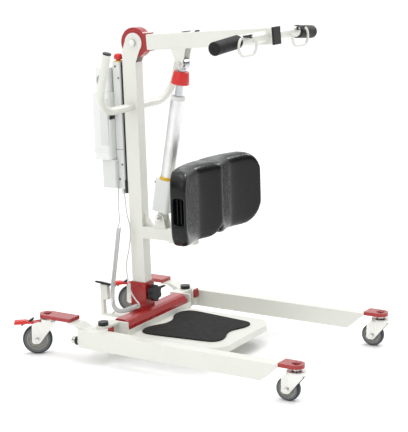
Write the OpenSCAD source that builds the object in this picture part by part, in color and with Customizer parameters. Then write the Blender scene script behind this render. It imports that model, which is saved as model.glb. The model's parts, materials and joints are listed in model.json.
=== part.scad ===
// Sit to stand lift: a mobile stand aid with a leg base, mast, powered boom and knee pad.
// Units are millimetres. +X points to the patient, +Y to the carer's left, +Z up.
// The origin is on the floor, between the legs, in the middle of the part's length. Inside the
// modules X is counted from the mast's axis, and placed() moves each piece to the part's own frame.

/* [Base] */
// Distance from the centreline to the middle of each leg
leg_y = 290; // [280:1:310]
// Height of the leg tube's underside above the floor
leg_bottom = 52; // [50:1:56]
// Height of the leg tube
leg_h = 58; // [54:1:60]
// Width of the leg tube
leg_w = 40; // [36:1:42]
// Where the leg's lower front corner is
leg_front = 640; // [600:5:645]
// How far the leg's slanted nose leans forward
leg_nose = 65; // [50:1:70]
// Distance of the leg pivot from the centreline
leg_pivot_y = 244; // [242:1:246]
// Forward edge of the footplate
foot_front = 415; // [390:5:430]
// Half the width of the footplate
foot_half = 172; // [160:1:178]

/* [Castors] */
// Radius of the braked rear wheels
rear_r = 50; // [48:1:51]
// Radius of the front wheels
front_r = 37.5; // [36:0.5:38]
// Resting swivel angle of both rear castors
swivel_rear = 35; // [0:5:60]
// Resting swivel angle of both front castors
swivel_front = 5; // [0:5:60]

/* [Mast] */
// Mast section, front to back
mast_x = 52; // [50:1:54]
// Mast section, side to side
mast_y = 40; // [38:1:42]
// Height of the boom pivot above the floor
pivot_z = 1016; // [1000:1:1030]
// Distance of the boom pivot in front of the mast's axis
pivot_x = 20; // [16:1:24]
// Half the spread of the push handle
handle_half = 212; // [200:1:220]
// Height of the push handle's level part
handle_z = 806; // [790:1:820]
// Forward lean of the push handle
handle_lean = 15; // [0:1:20]

/* [Boom] */
// Resting slope of the boom
boom_tilt = 3.4; // [2:0.2:5]
// Distance from the pivot to the boom's front end
boom_len = 523; // [500:1:540]
// Height of the boom tube
boom_h = 50; // [48:1:52]
// Radius of the cross tube
tube_r = 17; // [15:0.5:18]
// How far out the grips end
grip_end = 302; // [290:1:310]

/* [Actuator] */
// Lower pin of the actuator: distance in front of the mast's axis
act_x = 95; // [93:1:97]
// Lower pin of the actuator: height
act_z = 437; // [435:1:440]
// Actuator length between its pins
act_len = 524; // [522:1:526]
// Lean of the actuator from upright
act_lean = 11.33; // [11:0.1:11.6]

/* [Knee pad] */
// Half the width of the knee pad
pad_half = 232; // [220:1:240]
// Lowest edge of the knee pad
pad_bottom = 396; // [385:1:405]
// Height of the knee pad
pad_h = 246; // [240:1:260]

/* [Hidden] */
$fn = 24;

run = 0.06;              // running clearance of a pin in its hole
gap = 0.05;              // standing gap between parts that only touch
wall = 3;                // wall of the steel tubes
right = -1;              // side factors: the right leg is at -Y
left = 1;
leg_top = leg_bottom + leg_h;
leg_rear = -45;          // rear end of the leg tube
pivot_leg_x = 12;        // leg pivot: distance in front of the mast's axis
pivot_bolt_r = 10;
boss_r = 24;             // round bosses around the leg pivots
leg_pin = [-40, 225];    // where a spreader link drives a leg
crank_x = -100;          // spreader crank pivot
crank_r = 28;            // spreader crank radius
crank_pin_r = 6;
link_pin_r = 5;
link_room = 2.5;         // the open pivots at the links' leg ends
foot_top = 72;           // upper face of the footplate
bar_bottom = 90;         // underside of the crossbar
bar_top = 121;
bar_half = 172;          // half the crossbar's length
socket_top = 207;
stud_r = 5;              // radius of the studs and small pins
knob_z = 169.5;          // height of the mast's clamping stud
plate_t = 12;            // thickness of the castor plates
rear_stem_x = -199;
rear_stem_y = 270;
rear_plate_top = 138;
front_stem_x = 755;
front_plate_top = 118;
rear_trail = 38;         // from the castor's kingpin to its axle
front_trail = 27;
kingpin_r = 6;
axle_r = 5;
mast_front = mast_x / 2;
handle_x = 5;            // push handle, in front of the mast's axis
handle_r = 13;
head_z = 953;            // above this the mast is open to front and rear
head_r = 33;             // radius of the mast's cheeks
drum_r = 50;
beam_top = 402;          // knee pad beam
beam_h = 40;
beam_end = 176;
rod_r = 12.5;
rod_pin_at = [173.8, -75.4];  // rod pin, from the pivot, along and across the boom
cross_at = 498;          // cross tube, from the pivot, along the boom
droop = 5;               // slope of the outer arms
sweep = 4;               // rearward sweep of the outer arms
arm_at = 160;            // where the outer arms start

// ---------------------------------------------------------------- helpers

// Moves a piece from the mast's axis to the part's own origin
module placed() {
    rear = rear_stem_x - pedal_reach * cos(swivel_rear) - pedal_half * sin(swivel_rear);
    front = front_stem_x + front_race_r;
    translate([-(rear + front) / 2, 0, 0]) children();
}

// A bar of radius r from point a to point b
module strut(a, b, r) {
    d = b - a;
    flat = norm([d.x, d.y]);
    translate(a) rotate([0, atan2(flat, d.z), atan2(d.y, d.x)]) cylinder(h = norm(d), r = r);
}

// A flat shape drawn in X and Z, w thick and centred on y
module upright(y, w) {
    translate([0, y + w / 2, 0]) rotate([90, 0, 0]) linear_extrude(w) children();
}

// A cylinder along Y from y0 to y1
module pin_y(at, y0, y1, r) {
    translate([at.x, y1, at.y]) rotate([90, 0, 0]) cylinder(h = y1 - y0, r = r);
}

// A cylinder along X from x0 to x1
module pin_x(x0, x1, y, z, r) {
    translate([x0, y, z]) rotate([0, 90, 0]) cylinder(h = x1 - x0, r = r);
}

// A rectangle with round corners, between two corners
module round_box(low, high, r) {
    union() {
        translate([low.x + r, low.y]) square([high.x - low.x - 2 * r, high.y - low.y]);
        translate([low.x, low.y + r]) square([high.x - low.x, high.y - low.y - 2 * r]);
        for (x = [low.x + r, high.x - r], y = [low.y + r, high.y - r]) translate([x, y]) circle(r);
    }
}

// Moves a castor from its kingpin to its place on the base
module castor_place(x, y, angle) {
    translate([x, y, 0]) rotate([0, 0, angle]) children();
}

module boom_frame() {
    translate([pivot_x, 0, pivot_z]) rotate([0, -boom_tilt, 0]) children();
}

module actuator_frame() {
    translate([act_x, 0, act_z]) rotate([0, act_lean, 0]) children();
}

// An outer arm of the cross tube, drawn along +Z from its root
module arm_frame(side) {
    at = [pivot_x + cross_at * cos(boom_tilt), side * arm_at, pivot_z + cross_at * sin(boom_tilt)];
    translate(at) rotate([0, 0, side * sweep]) rotate([-side * (90 + droop), 0, 0]) children();
}

// ---------------------------------------------------------------- base

module base_frame() {
    rear = -12;
    front = 70;
    half = 190;
    side_t = 7;              // upright plates at the beam's ends
    side_low = 53;
    side_high = 118;
    lug_t = 6;               // the lugs above and below each leg's boss
    lug_from = half - 6;
    color("white") difference() {
        union() {
            translate([rear, -half, foot_top + gap])
                cube([front - rear, 2 * half, bar_bottom - foot_top - 2 * gap]);
            for (side = [right, left]) {
                y0 = side > 0 ? lug_from : -leg_pivot_y;
                translate([rear - 1, side * (half - side_t / 2) - side_t / 2, side_low])
                    cube([front - rear + 1, side_t, side_high - side_low]);
                for (z = [side_low, side_high - lug_t]) {
                    translate([pivot_leg_x - boss_r, y0, z])
                        cube([2 * boss_r, leg_pivot_y - lug_from, lug_t]);
                    translate([pivot_leg_x, side * leg_pivot_y, z]) cylinder(h = lug_t, r = boss_r);
                }
            }
            translate([crank_x - 16, -16, foot_top + gap]) cube([110, 32, 6]);
            translate([crank_x, 0, 58]) cylinder(h = 18, r = crank_pin_r);
            translate([crank_x, 0, 54]) cylinder(h = 4, r = 11);
        }
        for (side = [right, left])
            translate([pivot_leg_x, side * leg_pivot_y, 0]) cylinder(h = 140, r = pivot_bolt_r + gap);
    }
}

module crossbar() {
    section = [[4, bar_bottom], [66, bar_bottom], [66, 101], [55, 116], [46, bar_top],
               [12, bar_top], [4, 112]];
    color("firebrick") difference() {
        union() {
            upright(0, 2 * bar_half) polygon(section);
            translate([-31, -25, bar_bottom]) cube([62, 50, socket_top - bar_bottom]);
        }
        translate([-mast_front - gap, -mast_y / 2 - gap, 95 - gap])
            cube([mast_x + 2 * gap, mast_y + 2 * gap, 200]);
        pin_x(20, 40, 0, knob_z, stud_r + run);
    }
}

module foot_outline(inset, corner) {
    round_box([inset - 12, inset - foot_half], [foot_front - inset, foot_half - inset], corner);
}

module footplate() {
    color("white") difference() {
        translate([0, 0, 50]) linear_extrude(foot_top - 50) foot_outline(0, 62);
        translate([0, 0, 40]) linear_extrude(26) foot_outline(3, 59);
    }
}

// The mat has four lobes, and a waist at its front and rear edges
module footplate_mat() {
    mat_rear = 73;
    mat_front = 370;
    rear_r = 44;
    front_r = 36;
    rear_y = 102;
    front_y = 85;
    color("dimgray") translate([0, 0, foot_top + gap]) linear_extrude(4) difference() {
        union() {
            polygon([[mat_rear + rear_r, -rear_y - rear_r], [mat_front - front_r, -front_y - front_r],
                     [mat_front - front_r, front_y + front_r], [mat_rear + rear_r, rear_y + rear_r]]);
            translate([mat_rear, -rear_y]) square([60, 2 * rear_y]);
            translate([mat_front - 60, -front_y]) square([60, 2 * front_y]);
            for (side = [right, left]) {
                translate([mat_rear + rear_r, side * rear_y]) circle(rear_r);
                translate([mat_front - front_r, side * front_y]) circle(front_r);
            }
        }
        translate([mat_rear - 51, 0]) circle(85);
        translate([mat_front + 60, 0]) circle(86);
    }
}

module leg_pivot_bolts() {
    color("silver") for (side = [right, left])
        translate([pivot_leg_x, side * leg_pivot_y, 46]) union() {
            cylinder(h = 76, r = pivot_bolt_r);
            cylinder(h = 6.9, r = 16, $fn = 6);
        }
}

module leg_pivot_caps() {
    color("black") for (side = [right, left])
        translate([pivot_leg_x, side * leg_pivot_y, 118 + gap]) difference() {
            cylinder(h = 12, r = 17);
            translate([0, 0, -1]) cylinder(h = 6, r = pivot_bolt_r + gap);
        }
}

// A crank under the rear of the base, with a foot lever and one pin for each link
module spreader_pedal() {
    post_rear = -176;
    pad_roll = 19;
    pad_pitch = 5;
    color("white") difference() {
        union() {
            translate([crank_x - crank_r, -9, 62]) cube([2 * crank_r, 18, 7]);
            for (x = [-crank_r, crank_r]) {
                translate([crank_x + x, 0, 62]) cylinder(h = 7, r = 9);
                translate([crank_x + x, 0, 62]) cylinder(h = 8.9 + (x < 0 ? 8 : 0), r = link_pin_r);
            }
            translate([post_rear, -9, 62]) cube([60, 18, 7]);
            translate([post_rear, -8, 62]) cube([12, 16, 60]);
            translate([post_rear, -8, 120]) cube([30, 16, 54]);
            translate([post_rear + 19, 0, 176]) rotate([-pad_roll, pad_pitch, 0])
                cube([58, 46, 5], center = true);
        }
        translate([crank_x, 0, 60]) cylinder(h = 12, r = crank_pin_r + run);
    }
}

// A flat link between a crank pin and a leg, z0 above the floor
module spreader_link(from, to, z0) {
    d = to - from;
    color("silver") translate([from.x, from.y, z0]) rotate([0, 0, atan2(d.y, d.x)]) difference() {
        union() {
            translate([0, -6, 0]) cube([norm(d), 12, 2.4]);
            cylinder(h = 2.4, r = 8.5);
            translate([norm(d), 0, 0]) cylinder(h = 2.4, r = 11);
        }
        translate([0, 0, -1]) cylinder(h = 5, r = link_pin_r + run);
        translate([norm(d), 0, -1]) cylinder(h = 5, r = link_pin_r + link_room);
    }
}

module spreader_link_right() {
    spreader_link([crank_x + crank_r, 0], [leg_pin.x, -leg_pin.y], 69.1);
}

module spreader_link_left() {
    spreader_link([crank_x - crank_r, 0], leg_pin, 69.1);
}

// ---------------------------------------------------------------- legs

module leg(side) {
    profile = [[leg_rear, leg_bottom], [leg_front, leg_bottom],
               [leg_front + leg_nose, leg_top], [leg_rear, leg_top]];
    inner = [[leg_rear + wall, leg_bottom + wall], [leg_front - 4, leg_bottom + wall],
             [leg_front + leg_nose - 12, leg_top - wall], [leg_rear + wall, leg_top - wall]];
    riser_top = rear_plate_top - plate_t - gap;
    boss_low = 60;
    boss_h = 51.5;
    riser = [[-98, 119], [-70, 119], [-45, 104], [-45, 100], [-12, 100], [-12, leg_top],
             [-30, 113], [-46, 121], [-58, riser_top], [-98, riser_top]];
    color("white") difference() {
        union() {
            upright(side * leg_y, leg_w) polygon(profile);
            upright(side * (rear_stem_y + 4), 46) polygon(riser);
            translate([pivot_leg_x - 25, side * 257 - 15, boss_low]) cube([60, 30, boss_h]);
            translate([pivot_leg_x, side * leg_pivot_y, boss_low]) cylinder(h = boss_h, r = boss_r);
            translate([leg_pin.x - 12, side * 247 - 27, boss_low]) cube([24, 54, 6]);
            translate([leg_pin.x, side * leg_pin.y, boss_low]) cylinder(h = 12.5, r = link_pin_r);
            pin_x(-70, leg_rear, side * 300, 72, 11);
        }
        upright(side * leg_y, leg_w - 2 * wall) polygon(inner);
        translate([120, side * leg_y, 50]) cube([40, 24, 20], center = true);
        translate([pivot_leg_x, side * leg_pivot_y, 50]) cylinder(h = 70, r = pivot_bolt_r + run);
    }
}

module leg_right() { leg(right); }
module leg_left() { leg(left); }

// A red plate with a round end, bored for the castor's kingpin
module castor_plate(x0, x1, y, w, top, nose_at) {
    translate([0, 0, top - plate_t]) linear_extrude(plate_t) difference() {
        union() {
            translate([x0, y - w / 2]) square([x1 - x0, w]);
            translate([nose_at, y]) circle(w / 2);
        }
        translate([nose_at, y]) circle(kingpin_r + run);
    }
}

// The two castor plates of one leg, and the small tab that stops the leg's swing
module castor_plates(side) {
    color("crimson") {
        castor_plate(rear_stem_x, -86, side * rear_stem_y, 54, rear_plate_top, rear_stem_x);
        castor_plate(leg_front + leg_nose + gap, front_stem_x, side * leg_y, 50,
                     front_plate_top, front_stem_x);
        translate([47 + gap, side * 254 - 12, 88]) cube([6, 24, 30]);
    }
}

module castor_plates_right() { castor_plates(right); }
module castor_plates_left() { castor_plates(left); }

// ---------------------------------------------------------------- castors

// Fork of a swivel castor: kingpin, ball race, crown, two cheeks and the riveted axle.
// The kingpin is on the origin, and the wheel trails to -X.
module castor_fork(r, trail, race_r, race_z, plate_top, wheel_w) {
    inside = wheel_w / 2 + 2.5;
    cheeks = [[race_r - 3, race_z], [race_r - 5, race_z - 7], [-trail + 10, r - 9], [-trail + 4, r - 13],
              [-trail - 11, r - 13], [-trail - 18, r - 6], [-trail - 16, race_z - 12],
              [-trail - 8, race_z - 2], [-race_r + 4, race_z]];
    color("silver") union() {
        translate([0, 0, race_z]) cylinder(h = 10, r = race_r);
        translate([0, 0, race_z + 10]) cylinder(h = plate_top - plate_t - race_z - 10 - gap, r = 14);
        translate([0, 0, race_z + 8]) cylinder(h = plate_top - race_z - 6, r = kingpin_r);
        translate([0, 0, race_z - 3]) linear_extrude(4) intersection() {
            circle(race_r - 1);
            square([2 * race_r, 2 * inside + 6], center = true);
        }
        for (y = [-inside - 1.5, inside + 1.5]) upright(y, 3) polygon(cheeks);
        pin_y([-trail, r], -inside - 6, inside + 6, axle_r);
        for (y = [-inside - 6, inside + 3]) pin_y([-trail, r], y, y + 3, axle_r + 4);
    }
}

module wheel_hub(r, trail, wheel_w) {
    color("gray") difference() {
        union() {
            pin_y([-trail, r], -wheel_w / 2 + 2, wheel_w / 2 - 2, r * 0.72);
            pin_y([-trail, r], -wheel_w / 2 - 2, wheel_w / 2 + 2, 11);
        }
        pin_y([-trail, r], -wheel_w, wheel_w, axle_r + run);
        for (s = [-1, 1]) translate([-trail, s * (wheel_w / 2 + 1), r]) rotate([90, 0, 0]) difference() {
            cylinder(h = 12, r = r * 0.58, center = true);
            cylinder(h = 14, r = 14, center = true);
        }
    }
}

module wheel_tyre(r, trail, wheel_w) {
    half = wheel_w / 2;
    profile = [[r * 0.72, -half + 2], [r * 0.84, -half], [r - 3, -half + 1], [r, -half + 5],
               [r, half - 5], [r - 3, half - 1], [r * 0.84, half], [r * 0.72, half - 2]];
    color("dimgray") translate([-trail, 0, r]) rotate([90, 0, 0]) rotate_extrude() polygon(profile);
}

pedal_reach = 112;       // from the kingpin to the end of the brake pedal's pad
pedal_half = 17;

// A foot pedal over the rear wheel, hinged between the fork's cheeks
module brake_pedal_body() {
    arm = [[-18, 100.5], [-18, 106.5], [-26, 108.4], [-60, 113], [-80, 117], [-96, 114],
           [-98, 107], [-76, 106], [-36, 104], [-26, 100.8]];
    color("red") union() {
        upright(0, 22) polygon(arm);
        translate([-pedal_reach, -pedal_half, 106]) cube([38, 2 * pedal_half, 8]);
        pin_y([-22, 103.5], -16 + run, 16 - run, 3);
    }
}

rear_race_z = 112;
front_race_z = 86;
rear_race_r = 28;
front_race_r = 30;

module rear_castor_fork() {
    castor_fork(rear_r, rear_trail, rear_race_r, rear_race_z, rear_plate_top, 27);
}

module front_castor_fork() {
    castor_fork(front_r, front_trail, front_race_r, front_race_z, front_plate_top, 24);
}

module at_rear_right() { castor_place(rear_stem_x, -rear_stem_y, swivel_rear) children(); }
module at_rear_left() { castor_place(rear_stem_x, rear_stem_y, swivel_rear) children(); }
module at_front_right() { castor_place(front_stem_x, -leg_y, swivel_front) children(); }
module at_front_left() { castor_place(front_stem_x, leg_y, swivel_front) children(); }

module rear_fork_right() { at_rear_right() rear_castor_fork(); }
module rear_fork_left() { at_rear_left() rear_castor_fork(); }
module front_fork_right() { at_front_right() front_castor_fork(); }
module front_fork_left() { at_front_left() front_castor_fork(); }
module rear_hub_right() { at_rear_right() wheel_hub(rear_r, rear_trail, 27); }
module rear_hub_left() { at_rear_left() wheel_hub(rear_r, rear_trail, 27); }
module front_hub_right() { at_front_right() wheel_hub(front_r, front_trail, 24); }
module front_hub_left() { at_front_left() wheel_hub(front_r, front_trail, 24); }
module rear_tyre_right() { at_rear_right() wheel_tyre(rear_r, rear_trail, 27); }
module rear_tyre_left() { at_rear_left() wheel_tyre(rear_r, rear_trail, 27); }
module front_tyre_right() { at_front_right() wheel_tyre(front_r, front_trail, 24); }
module front_tyre_left() { at_front_left() wheel_tyre(front_r, front_trail, 24); }
module brake_pedal_right() { at_rear_right() brake_pedal_body(); }
module brake_pedal_left() { at_rear_left() brake_pedal_body(); }

// ---------------------------------------------------------------- mast

// Side view of one cheek at the mast's head
module cheek_shape() {
    union() {
        translate([pivot_x, pivot_z]) circle(head_r);
        polygon([[-mast_front, 900], [-mast_front, 986], [pivot_x - 31.6, pivot_z + 8],
                 [pivot_x, pivot_z + 12], [pivot_x + 32.2, pivot_z - 6], [mast_front, head_z],
                 [mast_front, 900]]);
    }
}

module mast() {
    lug = [[70, beam_top - 5], [118, beam_top - 5], [111, act_z], [79, act_z]];
    color("white") difference() {
        union() {
            translate([-mast_front, -mast_y / 2, 95]) cube([mast_x, mast_y, head_z - 95]);
            for (side = [right, left]) upright(side * (mast_y / 2 - wall / 2), wall) cheek_shape();
            translate([mast_front - 2, -beam_h / 2, beam_top - beam_h])
                cube([beam_end - mast_front + 2, beam_h, beam_h]);
            for (side = [right, left]) {
                upright(side * 15.5, 4) polygon(lug);
                pin_y([act_x, act_z], side * 15.5 - 2, side * 15.5 + 2, 16);
            }
            upright(0, 8) polygon([[mast_front - 1, beam_top - 5], [62, beam_top - 5],
                                   [mast_front - 1, 452]]);
        }
        translate([-mast_front + wall, -mast_y / 2 + wall, 90])
            cube([mast_x - 2 * wall, mast_y - 2 * wall, 1000]);
        translate([mast_front + 4, -beam_h / 2 + wall, beam_top - beam_h + wall])
            cube([beam_end, beam_h - 2 * wall, beam_h - 2 * wall]);
        pin_y([pivot_x, pivot_z], -30, 30, 8 + gap);
        pin_y([act_x, act_z], -30, 30, 6 + gap);
        pin_y([handle_x, handle_z], -30, 30, handle_r + gap);
    }
}

// Star knob whose stud clamps the mast in its socket
module mast_knob() {
    lobes = 6;
    color("black") union() {
        translate([40, 0, knob_z]) rotate([0, 90, 0]) linear_extrude(20) union() {
            circle(24);
            for (i = [0:lobes - 1]) rotate(i * 360 / lobes) translate([20, 0]) circle(9);
        }
        pin_x(mast_front + 0.4, 41, 0, knob_z, stud_r);
    }
}

// Locking lever on the knob's stud
module mast_lever() {
    color("black") difference() {
        union() {
            pin_x(32, 39, 0, knob_z, 12);
            translate([32, 0, knob_z]) rotate([90, 0, 90]) linear_extrude(6)
                polygon([[0, 12], [80, 6], [88, 3], [80, 0], [8, -2]]);
        }
        pin_x(30, 41, 0, knob_z, stud_r + run);
    }
}

// A tube through the mast, bent up at both ends
module push_handle() {
    bend = 88;
    upright_len = 112;
    level = handle_half - bend;
    color("white") translate([handle_x, 0, handle_z]) rotate([0, handle_lean, 0]) union() {
        pin_y([0, 0], -level, level, handle_r);
        for (side = [right, left]) {
            translate([0, side * level, bend]) rotate([90, 0, 90])
                rotate_extrude(angle = side * 90, start = -90) translate([bend, 0]) circle(handle_r);
            translate([0, side * handle_half, bend]) {
                sphere(handle_r + gap);
                cylinder(h = upright_len, r = handle_r);
            }
        }
    }
}

module mast_pins() {
    color("silver") {
        union() {
            pin_y([pivot_x, pivot_z], -24, 24, 8);
            pin_y([pivot_x, pivot_z], -28, -20 - gap, 12);
            pin_y([pivot_x, pivot_z], 20 + gap, 26, 12);
        }
        union() {
            pin_y([act_x, act_z], -38, 22, 6);
            pin_y([act_x, act_z], -30, -17.5 - gap, 10);
            pin_y([act_x, act_z], 17.5 + gap, 24, 10);
        }
    }
}

// ---------------------------------------------------------------- control unit

box_front = -36;
box_rear = -66;

module control_rail() {
    color("black") translate([box_front + gap, -15, 540])
        cube([-mast_front - box_front - 2 * gap, 30, 410]);
}

module control_box() {
    color("gainsboro") difference() {
        union() {
            translate([0, 0, 526]) linear_extrude(427) round_box([box_rear, -24], [box_front, 24], 4);
            translate([0, 0, 530]) linear_extrude(97) round_box([-116, -42], [box_rear + 8, 42], 8);
        }
        translate([-50, -8, 930]) cylinder(h = 40, r = 8 + run);
    }
}

module box_screws() {
    color("dimgray") for (x = [-54, -42], z = [560, 610, 900, 938])
        if ((x < -50) == (z == 938 || z == 560)) pin_y([x, z], -26, -24 - gap, 3);
}

module battery_pack() {
    color("white") difference() {
        union() {
            translate([0, 0, 628]) linear_extrude(224) round_box([-138, -54], [box_rear - gap, 54], 12);
            translate([0, 0, 850]) linear_extrude(84) round_box([-126, -44], [box_rear - 6, 44], 10);
        }
        upright(0, 100) translate([-100, 892]) circle(19);
        translate([-84, -60, 762]) cube([30, 10, 34]);
    }
}

module estop_button() {
    color("red") translate([-50, -8, 0]) union() {
        translate([0, 0, 935]) cylinder(h = 28, r = 8);
        translate([0, 0, 961]) cylinder(h = 18, r = 15);
    }
}

// Handset hung on the far side of the battery, with its hook over the battery's shoulder
module handset() {
    color("gainsboro") difference() {
        union() {
            translate([0, 0, 690]) linear_extrude(150) round_box([-122, 54 + gap], [-68, 80], 10);
            translate([-110, 46, 852 + gap]) cube([30, 18, 4]);
            translate([-110, 60, 838]) cube([30, 4, 18]);
        }
        for (z = [770, 800]) translate([-95, 70, z]) rotate([-90, 0, 0]) cylinder(h = 20, r = 9 + run);
    }
}

module handset_button(z) {
    translate([-95, 72, z]) rotate([-90, 0, 0]) cylinder(h = 11, r = 9);
}

module button_up() { color("dimgray") handset_button(800); }
module button_down() { color("dimgray") handset_button(770); }

// The coiled handset cord as its outer sleeve, and the plain leads at both ends
module cords() {
    coil = [[-44, -60, 400], [-82, -60, 185], [-84, -60, 142], [-63, -63, 109], [-30, -70, 113],
            [36, -76, 141]];
    tail = [coil[len(coil) - 1], [-2, -60, 175], [-20, -52, 202], [-36, -40, 266], [-32, -36, 300],
            [-46, -30, 460], [-44, -10, 522]];
    color("lightgray") union() {
        for (i = [0:len(coil) - 2]) {
            strut(coil[i], coil[i + 1], 8);
            translate(coil[i + 1]) sphere(8.3, $fn = 16);
        }
        strut(coil[0], [-48, -16, 522], 3);
        for (i = [0:len(tail) - 2]) {
            strut(tail[i], tail[i + 1], 3);
            translate(tail[i + 1]) sphere(3.2, $fn = 16);
        }
    }
}

// ---------------------------------------------------------------- boom

tongue_half = 10;        // half the thickness of the boom's pivot tongue

module boom() {
    ear = [[146, -boom_h / 2 + 1], [202, -boom_h / 2 + 1], [rod_pin_at.x + 14, rod_pin_at.y + 6],
           [rod_pin_at.x + 6, rod_pin_at.y - 8], [rod_pin_at.x - 8, rod_pin_at.y - 6],
           [rod_pin_at.x - 14, rod_pin_at.y + 10]];
    color("white") boom_frame() difference() {
        union() {
            translate([54, -20, -boom_h / 2]) cube([boom_len - 54, 40, boom_h]);
            translate([0, -tongue_half, -18]) cube([56, 2 * tongue_half, 36]);
            pin_y([0, 0], -tongue_half, tongue_half, 18);
            for (side = [right, left]) {
                upright(side * 18, 4) polygon(ear);
                pin_y(rod_pin_at, side * 18 - 2, side * 18 + 2, 14);
            }
        }
        translate([60, -20 + wall, -boom_h / 2 + wall])
            cube([boom_len, 40 - 2 * wall, boom_h - 2 * wall]);
        pin_y([0, 0], -30, 30, 8 + run);
        pin_y(rod_pin_at, -30, 30, 5 + gap);
        pin_y([cross_at, 0], -30, 30, tube_r + gap);
    }
}

// Round cover at the boom's rear end, forked over the boom
module pivot_drum() {
    color("firebrick") boom_frame() difference() {
        upright(0, 32) union() {
            circle(drum_r);
            translate([20, -boom_h / 2 - 4]) square([40, boom_h + 8]);
        }
        translate([54 - gap, -25, -boom_h / 2 - gap]) cube([20, 50, boom_h + 2 * gap]);
        translate([0, -tongue_half - gap, -18 - gap]) cube([70, 2 * tongue_half + 2 * gap, 36 + 2 * gap]);
        pin_y([0, 0], -tongue_half - gap, tongue_half + gap, 18 + gap);
        pin_y([0, 0], -30, 30, 8 + run);
    }
}

// Black plastic fittings: the boom's front cap, the clip over its sleeve joint, and a cover plug
module boom_caps() {
    color("black") boom_frame() {
        union() {
            translate([boom_len + gap, -21.5, -boom_h / 2 - 2]) cube([7, 43, boom_h + 4]);
            translate([boom_len - 7, -16.5, -boom_h / 2 + 3.5]) cube([9, 33, boom_h - 7]);
        }
        translate([190, -14, boom_h / 2 + gap]) cube([16, 28, 3]);
        translate([240, 0, boom_h / 2 + gap]) cylinder(h = 4, r = 8);
    }
}

module cross_tube() {
    color("white") union() {
        boom_frame() pin_y([cross_at, 0], -arm_at, arm_at, tube_r);
        for (side = [right, left]) arm_frame(side) {
            sphere(tube_r + gap);
            cylinder(h = grip_end - arm_at - 6, r = tube_r);
        }
    }
}

latch_y = 146;
latch_z = 1057;
latch_pin_r = 2.5;

// One C-shaped hook of round bar, in a plane across the front of the tube
module sling_hook(side) {
    hook_x = 540;
    r = 4;
    bend = 28;
    low = 1002;
    inner = 112;
    outer = 214;
    union() {
        strut([530, side * inner, 1040], [hook_x + 2, side * inner, 1040], r);
        strut([hook_x, side * inner, 1043], [hook_x, side * inner, low + bend], r);
        translate([hook_x, side * (inner + bend), low + bend]) rotate([90, 0, 90])
            rotate_extrude(angle = side * 90, start = side > 0 ? 180 : 0) translate([bend, 0]) circle(r);
        strut([hook_x, side * (inner + bend), low], [hook_x, side * (outer - bend), low], r);
        translate([hook_x, side * (outer - bend), low + bend]) rotate([90, 0, 90])
            rotate_extrude(angle = side * 150, start = -90) translate([bend, 0]) circle(r);
    }
}

module sling_hooks() {
    color("white") difference() {
        for (side = [right, left]) {
            sling_hook(side);
            pin_x(520, 547, side * latch_y, latch_z, latch_pin_r);
        }
        boom_frame() pin_y([cross_at, 0], -300, 300, tube_r + gap);
    }
}

// Sprung black latch across a hook's mouth, on a short pin in front of the tube
module hook_latch_right() {
    color("black") translate([538, -latch_y, latch_z]) rotate([90, 0, 90]) linear_extrude(7)
        difference() {
            union() {
                circle(6);
                polygon([[0, 5], [-36, 6], [-42, 3], [-36, -1], [0, -5]]);
            }
            circle(latch_pin_r + run);
        }
}

module hook_latch_left() {
    mirror([0, 1, 0]) hook_latch_right();
}

module grips() {
    color("black") for (side = [right, left]) arm_frame(side) difference() {
        translate([0, 0, 22]) cylinder(h = grip_end - arm_at - 22, r = tube_r + 3.5);
        translate([0, 0, 20]) cylinder(h = grip_end - arm_at - 26 + gap, r = tube_r + gap);
    }
}

module rod_pin() {
    color("silver") boom_frame() union() {
        pin_y(rod_pin_at, -22, 22, 5);
        pin_y(rod_pin_at, -25, -20 - gap, 9);
        pin_y(rod_pin_at, 20 + gap, 25, 9);
    }
}

// ---------------------------------------------------------------- actuator

housing_from = 24;
housing_to = 134;
tube_to = 414;

module motor_housing() {
    color("gainsboro") actuator_frame() difference() {
        union() {
            translate([0, 0, housing_from]) linear_extrude(housing_to - housing_from)
                round_box([-31, -29], [31, 29], 10);
            translate([-11, -12.9, 0]) cube([22, 25.8, housing_from + 2]);
            pin_y([0, 0], -12.9, 12.9, 13);
        }
        pin_y([0, 0], -30, 30, 6 + run);
        translate([0, 0, housing_from + 20]) cylinder(h = 200, r = 14);
    }
}

module seal_ring() {
    color("gold") actuator_frame() translate([0, 0, housing_to + gap]) difference() {
        cylinder(h = 10, r = 25);
        translate([0, 0, -1]) cylinder(h = 20, r = 23 + gap);
    }
}

module outer_tube() {
    color("gainsboro") actuator_frame() translate([0, 0, housing_to + gap]) difference() {
        cylinder(h = tube_to - housing_to, r = 23);
        translate([0, 0, -1]) cylinder(h = tube_to, r = rod_r + run);
    }
}

// Chromed rod with an oversize eye, which leaves room for the boom pin's arc
module rod() {
    color("silver") actuator_frame() difference() {
        union() {
            translate([0, 0, housing_to - 60]) cylinder(h = act_len - housing_to + 44, r = rod_r);
            pin_y([0, act_len], -12, 12, 20);
        }
        pin_y([0, act_len], -30, 30, 15);
    }
}

module rod_collar() {
    color("red") actuator_frame() translate([0, 0, 458]) rotate_extrude()
        polygon([[rod_r + gap, 0], [28, 0], [30, 3], [25, 40], [23, 42], [rod_r + gap, 42]]);
}

// ---------------------------------------------------------------- knee pad

post_x = 200;            // rear face of the pad's post
post = 28;               // side of the square post
lock_z = 518;            // height of the screw that clamps the pad on its post
slide = 0.3;             // clearance of the sleeve on the beam
plunger_x = 147;
pad_mid = pad_bottom + pad_h / 2;
pad_back = 230;          // the bracket's plate is let into the pad from here
sleeve_bottom = beam_top - beam_h - 5;

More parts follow.
